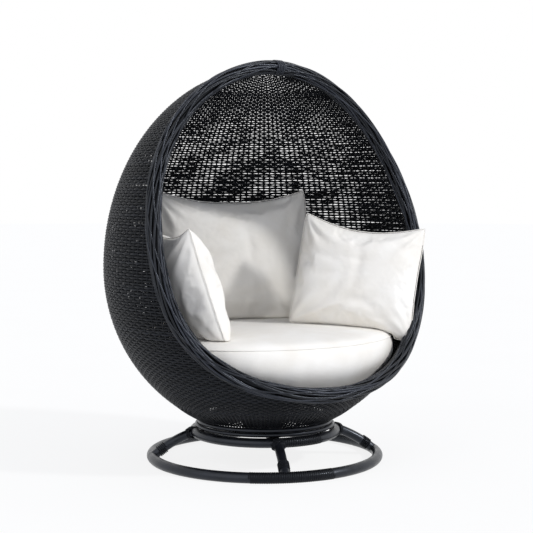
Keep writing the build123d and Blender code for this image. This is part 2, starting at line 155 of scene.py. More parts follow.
class PodStage(bpy.types.PropertyGroup):
    """Camera and light."""
    view_turn: FloatProperty(name="View turn", description="Bearing of the camera's view",
                             default=math.radians(32.85), subtype="ANGLE")
    view_drop: FloatProperty(name="View drop", description="How far the camera looks down",
                             default=math.radians(3.6), subtype="ANGLE")
    view_distance: FloatProperty(name="View distance", description="Camera to the chair's axis",
                                 default=4.9, min=2.0, max=12.0, unit="LENGTH")
    view_height: FloatProperty(name="View height", description="Camera above the floor",
                               default=1.034, min=0.2, max=3.0, unit="LENGTH")
    floor: FloatVectorProperty(name="Floor colour", description="Pale floor", subtype="COLOR",
                               default=linear("#FFFFFF"), min=0.0, max=1.0)


# ------------------------------------------------------------------------------------------------
# Meshes from arrays
# ------------------------------------------------------------------------------------------------

def make_piece(name, points, faces, material, tone=None, smooth=True):
    """Mesh object from an array of points and a list of face arrays, one row to a face.
    Points that no face uses are left out. tone is a value per point, kept as an attribute."""
    faces = [f for f in faces if len(f)]
    used = np.unique(np.concatenate([f.ravel() for f in faces]))
    place = np.full(len(points), -1)
    place[used] = np.arange(len(used))
    corners = np.concatenate([place[f].ravel() for f in faces]).astype(np.int32)
    sides = np.concatenate([np.full(len(f), f.shape[1]) for f in faces])
    starts = (np.cumsum(sides) - sides).astype(np.int32)
    mesh = bpy.data.meshes.new(name)
    mesh.vertices.add(len(used))
    mesh.vertices.foreach_set("co", points[used].astype(np.float32).ravel())
    mesh.loops.add(len(corners))
    mesh.loops.foreach_set("vertex_index", corners)
    mesh.polygons.add(len(starts))
    mesh.polygons.foreach_set("loop_start", starts)
    mesh.polygons.foreach_set("use_smooth", np.full(len(starts), smooth))
    mesh.update(calc_edges=True)
    if tone is not None:
        attribute = mesh.attributes.new("tone", "FLOAT", "POINT")
        attribute.data.foreach_set("value", tone[used].astype(np.float32))
    mesh.materials.append(material)
    made = bpy.data.objects.new(name, mesh)
    bpy.context.scene.collection.objects.link(made)
    return made


def settle(piece, body, node=None):
    """Give a finished piece its body, and hide the CAD node it takes the place of."""
    if node:
        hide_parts(node)
    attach(piece, body)


def points_of(mesh):
    """A mesh's points as an array."""
    values = np.zeros(len(mesh.vertices) * 3, np.float32)
    mesh.vertices.foreach_get("co", values)
    return values.reshape(-1, 3)


def tubes(centres, first, second, sides, closed=False, keep=None, turn=0.0):
    """Tubes along lines of centres, shaped (lines, stations, 3).
    Section point k lies at centre + cos(k) first + sin(k) second, so first and second carry the
    section's half sizes, and first x second points along the line. keep says which stations are
    there. Open ends are closed with one face. Returns points and faces."""
    lines, stations = centres.shape[:2]
    angle = turn + TAU * np.arange(sides) / sides
    ring = (centres[:, :, None] + np.cos(angle)[:, None] * first[:, :, None]
            + np.sin(angle)[:, None] * second[:, :, None])
    index = np.arange(lines * stations * sides).reshape(lines, stations, sides)
    keep = np.ones((lines, stations), bool) if keep is None else keep
    after = np.roll(keep, -1, axis=1)
    before = np.roll(keep, 1, axis=1)
    if not closed:
        after[:, -1] = False
        before[:, 0] = False
    here = index[keep & after]
    there = np.roll(index, -1, axis=1)[keep & after]
    quads = np.stack([here, np.roll(here, -1, axis=1), np.roll(there, -1, axis=1), there], axis=-1)
    head = index[keep & ~before]
    tail = index[keep & ~after]
    return ring.reshape(-1, 3), [quads.reshape(-1, 4), head, tail[:, ::-1]]


def unit(vectors):
    """Vectors divided by their length."""
    return vectors / np.maximum(np.linalg.norm(vectors, axis=-1, keepdims=True), 1e-12)


def tangents(points, closed):
    """Direction of a line of points: from the one before to the one after."""
    if closed:
        return unit(np.roll(points, -1, axis=-2) - np.roll(points, 1, axis=-2))
    return unit(np.gradient(points, axis=-2))


def round_tube(centres, radius, sides, closed=False, guide=(0, 0, 1)):
    """Tube with a round section along lines of centres; radius is a number or one per station.
    Its frame is square to the line and to a guide direction."""
    along = tangents(centres, closed)
    side = unit(np.cross(np.broadcast_to(np.array(guide, float), along.shape), along))
    up = np.cross(along, side)
    size = np.broadcast_to(radius, centres.shape[:2])[..., None]
    return tubes(centres, side * size, up * size, sides, closed)


def spread(count, seed, low=-1.0, high=1.0):
    """Seeded even random numbers."""
    return np.random.default_rng(seed).uniform(low, high, count)


def ripple(turns, seed, lines, counts, fade=0.7):
    """Smooth noise that closes on itself: for each line, cosines of whole counts of turns with
    random phases, each a little weaker than the one before, scaled to about -1 to 1."""
    rng = np.random.default_rng(seed)
    total = np.zeros((lines, turns.shape[-1]))
    weight = 0.0
    for step, count in enumerate(counts):
        phase = rng.uniform(0, TAU, (lines, 1))
        share = fade**step
        total += share * np.cos(count * turns + phase)
        weight += share * share
    return total / math.sqrt(2 * weight)


def block_noise(seed, rows, stations, high, wide):
    """Seeded random values on a coarse grid, read between its points in both directions; the
    grid closes on itself sideways."""
    grid = np.random.default_rng(seed).uniform(-1, 1, (high + 2, wide))
    up = np.linspace(0, high + 0.999, rows) * high / (high + 1)
    side = np.arange(stations) * wide / stations
    row, column = up.astype(int), side.astype(int)
    a, b = (up - row)[:, None], (side - column)[None]
    after = (column + 1) % wide
    low, top = (grid[level][:, column] * (1 - b) + grid[level][:, after] * b for level in (row, row + 1))
    return low * (1 - a) + top * a


def smooth_step(low, high, value):
    """0 below low, 1 above high, and an S between them."""
    share = np.clip((value - low) / (high - low), 0, 1)
    return share * share * (3 - 2 * share)


# ------------------------------------------------------------------------------------------------
# The egg, its opening and its rim
# ------------------------------------------------------------------------------------------------

def egg_radius(height):
    """Ellipse over the belt and another under it: R = a sqrt(1 - ((z - belt) / b)^2)."""
    rise = np.where(height > BELT, CROWN_RISE, BOWL_DEPTH)
    return SHELL_RADIUS * np.sqrt(np.maximum(0.0, 1 - ((height - BELT) / rise) ** 2))


def egg_normal(radius, height):
    """Outward normal of the egg as (radial, upward): the gradient of its ellipse."""
    rise = np.where(height > BELT, CROWN_RISE, BOWL_DEPTH)
    return unit(np.stack([radius / SHELL_RADIUS**2, (height - BELT) / rise**2], axis=-1))


def opening_forward(height):
    """How far in front of the axis the opening's edge lies: the polynomial through its stations."""
    stations = [(LIP, float(egg_radius(np.array(LIP))))]
    stations += [(LIP + up * (SHELL_TOP - LIP), share * SHELL_RADIUS) for up, share in OPENING]
    total = 0.0
    for own, forward in stations:
        weights = [(height - other) / (own - other) for other, _ in stations if other != own]
        total = total + forward * np.prod(weights, axis=0)
    return total


def rim_line(count):
    """Points evenly along the rim and its outward normals.
    A ray at each angle about the rim's middle is halved down to where it meets the shell."""
    finer, halvings = 4, 50
    angle = np.linspace(0, TAU, finer * count, endpoint=False)
    middle = (LIP + SHELL_TOP) / 2
    inside, outside = np.zeros_like(angle), np.full_like(angle, 2 * SHELL_RADIUS)
    for _ in range(halvings):
        reach = (inside + outside) / 2
        x, z = reach * np.sin(angle), middle - reach * np.cos(angle)
        level = np.clip(z, SKIN_BOTTOM, SHELL_TOP)
        beyond = np.hypot(x, opening_forward(level)) > egg_radius(level)
        out = (z > SHELL_TOP) | (z < SKIN_BOTTOM) | beyond
        inside, outside = np.where(out, inside, reach), np.where(out, reach, outside)
    x, z = inside * np.sin(angle), middle - inside * np.cos(angle)
    line = np.stack([x, -opening_forward(z), z], axis=-1)
    steps = np.linalg.norm(np.roll(line, -1, axis=0) - line, axis=1)
    length = np.concatenate([[0], np.cumsum(steps)])
    even = np.linspace(0, length[-1], count, endpoint=False)
    looped = np.vstack([line, line[:1]])
    line = np.stack([np.interp(even, length, looped[:, k]) for k in range(3)], axis=-1)
    rise = np.where(line[:, 2] > BELT, CROWN_RISE, BOWL_DEPTH)
    normal = unit(np.stack([line[:, 0] / SHELL_RADIUS**2, line[:, 1] / SHELL_RADIUS**2,
                            (line[:, 2] - BELT) / rise**2], axis=-1))
    return line, normal


# ------------------------------------------------------------------------------------------------
# Materials
# ------------------------------------------------------------------------------------------------

def add_node(tree, kind, settings=None, links=None):
    """One node with its settings, by property or input name, and its input links."""
    made = tree.nodes.new(kind)
    for name, value in (settings or {}).items():
        if isinstance(name, int) or name in made.inputs.keys():
            made.inputs[name].default_value = value
        else:
            setattr(made, name, value)
    for name, source in (links or {}).items():
        tree.links.new(source, made.inputs[name])
    return made


def new_material(name):
    """Empty node material with its output."""
    made = bpy.data.materials.new(name)
    made.use_nodes = True
    made.node_tree.nodes.clear()
    output = made.node_tree.nodes.new("ShaderNodeOutputMaterial")
    return made, made.node_tree, output


def object_space(tree):
    """Coordinates that patterns are drawn in: the piece's own, in metres."""
    return add_node(tree, "ShaderNodeTexCoord").outputs["Object"]


def cloudiness(tree, space, scale, detail, **more):
    """Noise of a given scale per metre over the piece."""
    return add_node(tree, "ShaderNodeTexNoise", {"Scale": scale, "Detail": detail, **more},
                    {"Vector": space}).outputs["Fac"]


def dent(tree, height, strength, distance, normal=None):
    """Fine relief from a height; normal is the relief that it lies on."""
    links = {"Height": height} if normal is None else {"Height": height, "Normal": normal}
    return add_node(tree, "ShaderNodeBump", {"Strength": strength, "Distance": distance},
                    links).outputs["Normal"]


def close_material(tree, output, settings, colour, normal, rough=None):
    """The surface's shader, with its colour, relief and roughness linked in."""
    links = {"Base Color": colour, "Normal": normal}
    if rough is not None:
        links["Roughness"] = rough
    shader = add_node(tree, "ShaderNodeBsdfPrincipled", settings, links)
    tree.links.new(shader.outputs[0], output.inputs[0])


def colour_ramp(tree, factor, stops):
    """Colour ramp with (place, linear colour) stops."""
    ramp = add_node(tree, "ShaderNodeValToRGB", links={"Fac": factor})
    ramp.color_ramp.elements[0].position = stops[0][0]
    ramp.color_ramp.elements[1].position = stops[-1][0]
    for place, _ in stops[1:-1]:
        ramp.color_ramp.elements.new(place)
    for element, (_, colour) in zip(ramp.color_ramp.elements, stops):
        element.color = (*colour, 1.0)
    return ramp.outputs["Color"]


def stained_cane(colour, name, gloss):
    """Cane stained black and sprayed with a thin satin lacquer, more of it on the rim.
    The lacquer gives soft cool highlights along each strand, and strands are stained to different depths.
    The colour's pale end is a painted cool highlight, lighter where there is more lacquer."""
    made, tree, output = new_material(name)
    space = object_space(tree)
    tone = add_node(tree, "ShaderNodeAttribute", {"attribute_name": "tone"}).outputs["Fac"]
    # Scale 90 per metre is a fleck of about 11 mm, the length that stain gathers over on a strand.
    fleck = cloudiness(tree, space, 90.0, 3.0)
    # The ramp's input mixes the stain's flecks with each strand's tone; its top end reaches the painted
    # highlight.
    stain_and_painted_highlight = add_node(tree, "ShaderNodeMath", {"operation": "MULTIPLY_ADD", 1: 0.35}, {0: fleck, 2: tone})
    dark = tuple(0.3 * np.array(colour))
    # The pale end is a painted highlight: the more lacquer, the lighter and cooler it is painted, standing
    # in for the lacquer's reflection of a cool sky.
    pale = tuple((1 + 8 * gloss) * np.array(colour) + gloss * np.array((0.009, 0.011, 0.017)))
    ramp = colour_ramp(tree, stain_and_painted_highlight.outputs[0], [(0.15, dark), (0.6, tuple(colour)), (1.0, pale)])
    smoother = 0.7 * gloss
    rough = add_node(tree, "ShaderNodeMapRange", {"To Min": 0.48 - smoother, "To Max": 0.64 - smoother},
                     {"Value": fleck})
    # Scale 700 per metre is pores about 1.4 mm apart along the cane's skin.
    pores = cloudiness(tree, space, 700.0, 2.0)
    close_material(tree, output, {"IOR": 1.5, "Specular IOR Level": gloss, "Specular Tint": COOL},
                   ramp, dent(tree, pores, 0.25, 0.0006), rough.outputs["Result"])
    return made


def lacquered_pole(colour):
    """Rattan pole, sanded, stained and lacquered satin-gloss.
    Long smooth highlights broken by faint growth streaks and rubbed dull patches."""
    made, tree, output = new_material("rattan_pole_lacquered")
    space = object_space(tree)
    # Scale 26 per metre is a cloud of about 40 mm, where hands and rain have dulled the lacquer.
    cloud = cloudiness(tree, space, 26.0, 4.0)
    dark = tuple(0.7 * np.array(colour))
    pale = tuple(1.9 * np.array(colour) + np.array((0.001, 0.0015, 0.003)))
    ramp = colour_ramp(tree, cloud, [(0.35, dark), (0.75, pale)])
    limits = {"From Min": 0.3, "From Max": 0.7, "To Min": 0.24, "To Max": 0.4}
    rough = add_node(tree, "ShaderNodeMapRange", limits, {"Value": cloud})
    # Scale 320 per metre is a growth streak about 3 mm wide.
    streak = cloudiness(tree, space, 320.0, 2.0)
    close_material(tree, output, {"IOR": 1.5, "Specular IOR Level": 0.42, "Specular Tint": COOL},
                   ramp, dent(tree, streak, 0.12, 0.0005), rough.outputs["Result"])
    return made


def cotton_canvas(colour):
    """Plain-woven cotton canvas, washed, off-white.
    Matt with a slight fuzz at grazing angles, a fine square weave and faint cloudiness."""
    made, tree, output = new_material("cotton_canvas_off_white")
    space = object_space(tree)
    # Scale 9 per metre is a cloud of about 11 cm, where washing has left the cover a little greyer.
    cloud = cloudiness(tree, space, 9.0, 4.0)
    shade = tuple(np.array(colour) * np.array((0.93, 0.915, 0.89)))
    ramp = colour_ramp(tree, cloud, [(0.3, shade), (0.7, tuple(colour))])
    # Threads lie 0.6 mm apart; two crossed waves at 2.4 mm are as coarse as the weave needs to show.
    threads = []
    for turn in (0.0, math.pi / 2):
        turned = add_node(tree, "ShaderNodeMapping", {"Rotation": (0.5, turn, 0.4)}, {"Vector": space})
        wave = add_node(tree, "ShaderNodeTexWave", {"Scale": 66.0, "Distortion": 1.2, "Detail": 1.0},
                        {"Vector": turned.outputs["Vector"]})
        threads.append(wave.outputs["Fac"])
    crossed = add_node(tree, "ShaderNodeMath", {"operation": "ADD"}, {0: threads[0], 1: threads[1]})
    weave = dent(tree, crossed.outputs[0], 0.1, 0.0004)
    # Scale 34 per metre is a rumple of about 3 cm.
    rumple = cloudiness(tree, space, 34.0, 5.0, Distortion=0.6)
    close_material(tree, output, {"Roughness": 0.92, "Sheen Weight": 0.18, "Sheen Roughness": 0.5},
                   ramp, dent(tree, rumple, 0.16, 0.004, weave))
    return made


def hard_finish(name, colour, metallic, roughness, coat, grain_scale, grain_depth):
    """Metal, plastic or wood finish: colour and roughness clouded by noise, and a fine grain."""
    made, tree, output = new_material(name)
    space = object_space(tree)
    # Scale 40 per metre is a cloud of about 25 mm.
    cloud = cloudiness(tree, space, 40.0, 4.0)
    low, high = (tuple(share * np.array(linear(colour))) for share in (0.75, 1.1))
    ramp = colour_ramp(tree, cloud, [(0.3, low), (0.7, high)])
    limits = {"To Min": roughness - 0.08, "To Max": roughness + 0.1}
    rough = add_node(tree, "ShaderNodeMapRange", limits, {"Value": cloud})
    grain = cloudiness(tree, space, grain_scale, 2.0)
    close_material(tree, output, {"Metallic": metallic, "Coat Weight": coat},
                   ramp, dent(tree, grain, 0.3, grain_depth), rough.outputs["Result"])
    return made


def finish(name, make, *values):
    """A material by name, made once."""
    return bpy.data.materials.get(name) or make(*values)


def cane_finish():
    """The weave's cane."""
    name = "stained_cane_lacquered"
    return finish(name, stained_cane, bpy.context.scene.pod_weave.colour[:], name, 0.18)


def rim_finish():
    """The rim's cane, with more lacquer, and so a paler painted highlight in its colour."""
    name = "stained_cane_lacquered_twice"
    return finish(name, stained_cane, bpy.context.scene.pod_weave.colour[:], name, 0.34)


def pole_finish():
    """The base's poles."""
    return finish("rattan_pole_lacquered", lacquered_pole, bpy.context.scene.pod_base.colour[:])


def canvas_finish():
    """The covers' cloth."""
    return finish("cotton_canvas_off_white", cotton_canvas, bpy.context.scene.pod_cushions.colour[:])


# ------------------------------------------------------------------------------------------------
# Shell
# ------------------------------------------------------------------------------------------------

def weave_rows(pitch):
    """Radius, height, normal and upward tangent of each row, a pitch apart along the profile."""
    above_foot, before_crown, samples = 0.004, 0.012, 6000
    low = math.asin((SKIN_BOTTOM + above_foot - BELT) / BOWL_DEPTH)
    turn = np.linspace(low, math.pi / 2 - before_crown, samples)
    rise = np.where(turn > 0, CROWN_RISE, BOWL_DEPTH)
    radius, height = SHELL_RADIUS * np.cos(turn), BELT + rise * np.sin(turn)
    length = np.concatenate([[0], np.cumsum(np.hypot(np.diff(radius), np.diff(height)))])
    even = np.arange(0, length[-1], pitch)
    radius, height = np.interp(even, length, radius), np.interp(even, length, height)
    return radius, height, egg_normal(radius, height)


def shell_frame(radius, height, normal, bearing):
    """Points, outward, upward and sideways directions of the shell for rows by bearings.
    A bearing is from the back, clockwise from above, so outward x upward points along it."""
    swing = np.stack([np.sin(bearing), np.cos(bearing), np.zeros_like(bearing)], axis=-1)
    up = np.array([0.0, 0.0, 1.0])
    swing = np.broadcast_to(swing, (len(radius), *swing.shape[-2:]))
    points = radius[:, None, None] * swing + height[:, None, None] * up
    outward = normal[:, None, :1] * swing + normal[:, None, 1:] * up
    upward = -normal[:, None, 1:] * swing + normal[:, None, :1] * up
    return points, outward, upward, np.cross(outward, upward)


def stake_step(radius, stakes):
    """How many stakes merge into one where the shell narrows: 1, 2, 4 or 8."""
    space = TAU * radius / stakes
    return np.where(space > 0.011, 1, np.where(space > 0.0055, 2, np.where(space > 0.0027, 4, 8)))


def behind_rim(points):
    """True where a point of the shell lies behind the opening's edge."""
    level = np.clip(points[..., 2], LIP, SHELL_TOP)
    return (points[..., 2] < LIP) | (-points[..., 1] < opening_forward(level))


class POD_OT_weave(bpy.types.Operator):
    """Weaves the shell: rows of strands that pass in front of and behind upright stakes"""
    bl_idname = "pod.weave"
    bl_label = "Weave the shell"

    def execute(self, context):
        sizes = context.scene.pod_weave
        per_stake, corners = 4, 4  # stations from stake to stake, and corners of a strand's section
        stations = sizes.stakes * per_stake
        bearing = TAU * np.arange(stations) / stations
        radius, height, normal = weave_rows(sizes.row_pitch)
        rows = len(radius)
        points, outward, upward, _ = shell_frame(radius, height, normal, bearing)

        # Strands ride over and under: the cosine of their place between stakes, turned by row.
        step = stake_step(radius, sizes.stakes)[:, None]
        phase = np.arange(stations)[None] / (per_stake * step)
        over = np.cos(math.pi * (phase + np.arange(rows)[:, None]))
        on_stake = np.abs(np.cos(math.pi * phase))

        # Loose in the upper back and tight low down, in uneven blocks: a coarse grid of random
        # values, a block about 3 stakes wide and 5 rows high, is read between its points.
        # It tightens again towards the crown and towards the rim at both sides.
        loose = smooth_step(0.44, 0.60, height) * (1 - 0.72 * smooth_step(1.20, 1.42, height))
        from_back = np.abs((bearing + math.pi) % TAU - math.pi)
        tight_side = 1 - 0.72 * smooth_step(1.0, 1.65, from_back)
        blocks = block_noise(7, rows, stations, rows // 5, sizes.stakes // 3)
        patches = block_noise(8, rows, stations, rows // 18, sizes.stakes // 9)
        cell = np.random.default_rng(5).uniform(-1, 1, (rows, sizes.stakes)).repeat(per_stake, axis=1)
        uneven = np.clip(0.60 + 0.60 * blocks + 0.10 * patches + 0.50 * cell, 0, 1)
        open_share = loose[:, None] * tight_side * uneven
        gap = sizes.openness * open_share * (1 - on_stake**4)
        half_row = sizes.row_pitch / 2 * (1.06 + 0.08 * (1 - loose[:, None]) - gap)
        drift = ripple(bearing, 21, rows, (3, 7, 13, 29), 0.8)
        drift = drift * sizes.row_pitch * (0.06 + 0.05 * loose[:, None])

        swing = sizes.strand * 0.42
        half_thick = sizes.strand * 0.5
        centres = points - outward * (STAKE_INSET - over[..., None] * swing) + upward * drift[..., None]
        first = outward * half_thick
        second = upward * half_row[..., None]
        keep = behind_rim(points)
        tone = spread((rows, 1), 31, 0.12, 0.6) + 0.1 * drift / sizes.row_pitch
        bands = {
            "bowl_weave": height < SEAM_HEIGHT,
            "hood_weave_low": (height >= SEAM_HEIGHT) & (height < 0.62),
            "hood_weave_middle": (height >= 0.62) & (height < 1.02),
            "hood_weave_high": (height >= 1.02) & (height < 1.24),
            "hood_weave_top": height >= 1.24,
        }
        for name, band in bands.items():
            mesh_points, faces = tubes(centres[band], first[band], second[band], corners, True, keep[band])
            piece = make_piece(name, mesh_points, faces, cane_finish(), tone[band].repeat(corners))
            settle(piece, "shell", "woven_bowl" if name == "bowl_weave" else "woven_hood")

        self.stakes(sizes, radius, height, normal)
        return {"FINISHED"}

    def stakes(self, sizes, radius, height, normal):
        """Upright stakes up each meridian; some end where the shell narrows."""
        bearing = TAU * np.arange(sizes.stakes) / sizes.stakes
        radius, height, normal = radius[::2], height[::2], normal[::2]
        points, outward, _, along = shell_frame(radius, height, normal, bearing)
        # Towards the foot they come to the surface and thicken, where two ends lie side by side.
        flare = 1 - smooth_step(0.175, 0.235, height)
        inset = STAKE_INSET - 0.003 * flare
        sway = ripple(TAU * height / 1.4, 41, sizes.stakes, (3, 7, 13)).T * 0.0011
        centres = points - outward * inset[:, None, None] + along * sway[..., None]
        half_wide = 0.0033 + 0.0008 * flare
        half_deep = 0.0016 + 0.0014 * flare
        step = stake_step(radius, sizes.stakes)
        keep = behind_rim(points) & (np.arange(sizes.stakes)[None] % step[:, None] == 0)
        swap, corners = (1, 0, 2), 6  # rows and stakes change places, so each line is a stake
        mesh_points, faces = tubes(
            centres.transpose(swap), (outward * half_deep[:, None, None]).transpose(swap),
            (-along * half_wide[:, None, None]).transpose(swap), corners, False, keep.T)
        tone = spread(sizes.stakes, 43, 0.05, 0.45).repeat(len(radius) * corners)
        settle(make_piece("shell_stakes", mesh_points, faces, cane_finish(), tone), "shell")


class POD_OT_rim(bpy.types.Operator):
    """Lays the rim's bundle of canes and binds it at the crown"""
    bl_idname = "pod.rim"
    bl_label = "Lay the rim"

    def execute(self, context):
        sizes = context.scene.pod_weave
        count, corners = 520, 8  # stations round the rim, and corners of a cane's section
        line, normal = rim_line(count)
        along = tangents(line, True)
        outward = unit(normal - along * np.sum(normal * along, axis=1, keepdims=True))
        across = np.cross(outward, along)
        turns = TAU * np.arange(count) / count

        # Canes lie round an oval and wind slowly about it, each wandering a little in place.
        canes, cane, twist = sizes.rim_canes, 0.0043, 2  # how many, a cane's radius, whole turns
        angle = (TAU * np.arange(canes)[:, None] / canes + twist * turns[None]
                 + 0.26 * ripple(turns, 51, canes, (3, 5, 9, 14)))
        lift = 1 + 0.09 * ripple(turns, 52, canes, (4, 7, 12, 19))
        splay = 1 + 0.10 * np.exp(-((turns - 0.9) / 0.5) ** 2)[None]
        wide = (RIM_HALF_WIDTH - cane) * lift * splay
        deep = (RIM_HALF_THICKNESS - cane + 0.002) * lift
        centres = (line[None] + across[None] * (wide * np.cos(angle))[..., None]
                   + outward[None] * (deep * np.sin(angle))[..., None])
        thick = cane * (1 + 0.10 * ripple(turns, 53, canes, (6, 11, 23)))
        thick *= (1 + 0.10 * spread((canes, 1), 54))
        points, faces = round_tube(centres, thick, corners, True, guide=(0, 1, 0.2))
        # A high tone takes a cane up into the colour's painted highlight, so some canes are painted
        # lighter.
        tone = spread(canes, 55, 0.0, 0.9).repeat(count * corners)
        bundle = make_piece("rim_cane_bundle", points, faces, rim_finish(), tone)
        settle(bundle, "shell", "rim_canes")

        # Thinner canes wind the other way over the bundle and cross it.
        loose, thin, twist = 7, 0.0029, 3
        angle = (TAU * np.arange(loose)[:, None] / loose - twist * turns[None]
                 + 0.4 * ripple(turns, 56, loose, (2, 5, 8)))
        wide, deep = RIM_HALF_WIDTH - 0.001, RIM_HALF_THICKNESS + 0.0005
        centres = (line[None] + across[None] * (wide * np.cos(angle))[..., None]
                   + outward[None] * (deep * np.sin(angle))[..., None])
        thick = thin * (1 + 0.12 * ripple(turns, 57, loose, (6, 11, 23)))
        points, faces = round_tube(centres, thick, corners, True, guide=(0, 1, 0.2))
        # Their high tones reach the colour's painted highlight.
        tone = spread(loose, 58, 0.4, 0.9).repeat(count * corners)
        settle(make_piece("rim_crossing_canes", points, faces, rim_finish(), tone), "shell")

        # A core fills the bundle's middle, so no light shows between its canes.
        # Its tone of 0 paints it at the colour's darkest end: a painted shade between the canes.
        core_wide, core_deep = RIM_HALF_WIDTH - 2.2 * cane, RIM_HALF_THICKNESS - 2.2 * cane
        points, faces = tubes(line[None], outward[None] * core_deep, -across[None] * core_wide, 12, True)
        core = make_piece("rim_core_painted_shade", points, faces, cane_finish(), np.zeros(len(points)))
        settle(core, "shell")
        self.binding(line, outward, across)
        return {"FINISHED"}

    def binding(self, line, outward, across):
        """Five turns of cane round the bundle beside the middle of the crown."""
        count, turns, cane, pitch, aside = len(line), 5, 0.0029, 0.0068, -0.012
        crown = count // 2
        spacing = np.linalg.norm(line[crown + 1] - line[crown])
        turn = np.linspace(0, turns, turns * 48 + 1)
        offset = aside + (turn - turns / 2) * pitch + 0.0012 * np.sin(TAU * turn)
        place = crown + offset / spacing
        base, out, side = (
            np.stack([np.interp(place, np.arange(count), values[:, k]) for k in range(3)], axis=-1)
            for values in (line, outward, across))
        wide, deep = RIM_HALF_WIDTH + cane - 0.0005, RIM_HALF_THICKNESS + cane
        centres = (base + unit(side) * (wide * np.cos(TAU * turn))[:, None]
                   + unit(out) * (deep * np.sin(TAU * turn))[:, None])
        points, faces = round_tube(centres[None], cane, 8, False, guide=(1, 0, 0.1))
        piece = make_piece("rim_binding_cane", points, faces, rim_finish(), np.full(len(points), 0.85))
        settle(piece, "shell", "rim_binding")


# ------------------------------------------------------------------------------------------------
# Base
# ------------------------------------------------------------------------------------------------

def pole_radius(base, turns, seed):
    """A pole's radius along it: slow waves, and a low ridge at each growth joint."""
    joints = np.sort(spread(7, seed, 0, TAU))
    gap = np.abs((turns[None] - joints[:, None] + math.pi) % TAU - math.pi)
    ridge = np.exp(-(gap / 0.012) ** 2).sum(axis=0)
    mean, wave, joint = 1 - 0.012, 0.008, 0.010  # shares of the pole's radius
    return base * (mean + wave * ripple(turns, seed + 1, 1, (3, 7, 15))[0] + joint * ridge)


def ring_centres(radius, height, bearing):
    """Points of a level ring by bearing from +X, anticlockwise."""
    return np.stack([radius * np.cos(bearing), radius * np.sin(bearing), height + 0 * bearing], axis=-1)


def leg_bearing(index):
    """Bearing of a leg from +X, anticlockwise; leg 0 is the front one."""
    return math.radians(-90 + LEG_TURN + 360 / LEGS * index)


def leg_line(index, start=0.0, stop=1.0, count=40):
    """Points down a leg: a straight run from ring to ring with its middle raised in a parabola."""
    share = np.linspace(start, stop, count)
    out = TOP_RING[0] + (FLOOR_RING[0] - TOP_RING[0]) * share
    up = TOP_RING[2] + (FLOOR_RING[2] - TOP_RING[2]) * share
    slope = math.atan2(TOP_RING[2] - FLOOR_RING[2], FLOOR_RING[0] - TOP_RING[0])
    bow = 4 * LEG_ARCH * share * (1 - share)
    out, up = out + bow * math.sin(slope), up + bow * math.cos(slope)
    bearing = leg_bearing(index)
    return np.stack([out * math.cos(bearing), out * math.sin(bearing), up], axis=-1)


class POD_OT_poles(bpy.types.Operator):
    """Bends the poles: floor ring, top ring, foot ring and four arched legs"""
    bl_idname = "pod.poles"
    bl_label = "Bend the poles"

    def execute(self, context):
        # Piece: its node, its ring, the body it rides on, the seed of its waves, its stations.
        rings = {
            "floor_ring_pole": ("floor_ring", FLOOR_RING, "base", 61, 480),
            "top_ring_pole": ("base_top_ring", TOP_RING, "base", 63, 360),
            "foot_ring_pole": ("foot_ring", FOOT_RING, "shell", 65, 360),
        }
        for name, (node, (radius, pole, height), body, seed, count) in rings.items():
            turns = TAU * np.arange(count) / count
            centres, poles = ring_centres(radius, height, turns)[None], pole_radius(pole, turns, seed)[None]
            if node == "foot_ring":
                # A thinner pole is bound under the foot ring, where the stakes' ends are turned in.
                under = ring_centres(radius + 0.008, height - 0.015, turns)[None]
                centres, poles = np.concatenate([centres, under]), np.concatenate([poles, 0.87 * poles])
            points, faces = round_tube(centres, poles, 28, True)
            points[:, 2] = np.maximum(points[:, 2], 0.0)
            settle(make_piece(name, points, faces, pole_finish()), body, node)
        for index, node in enumerate(("leg_front", "leg_right", "leg_back", "leg_left")):
            centres = leg_line(index)[None]
            turns = np.linspace(0, 1.4, centres.shape[1])
            points, faces = round_tube(centres, pole_radius(LEG_RADIUS, turns, 70 + index)[None], 28)
            settle(make_piece(node + "_pole", points, faces, pole_finish()), "base", node)
        return {"FINISHED"}


def winding(radius, pole, height, begin, end, turns):
    """Flat strip wound round a ring's pole from one bearing to another: its middle goes round the
    pole's line once a turn, at the pole's radius, with the strip's flat side to the pole."""
    steps, half_wide, half_thick = 28, 0.0037, 0.0011
    turn = np.linspace(0, turns, turns * steps + 1)
    bearing = begin + (end - begin) * turn / turns
    upright = np.array([0.0, 0.0, 1.0])
    out = (ring_centres(1.0, 0.0, bearing) * np.cos(TAU * turn)[:, None]
           + upright * np.sin(TAU * turn)[:, None])
    centres = ring_centres(radius, height, bearing) + out * (pole - 0.0002)
    wide = unit(np.cross(tangents(centres[None], False)[0], out))
    points, faces = tubes(centres[None], (out * half_thick)[None], (-wide * half_wide)[None], 6, False,
                          turn=math.pi / 6)
    points[:, 2] = np.maximum(points[:, 2], 0.0)
    return points, faces


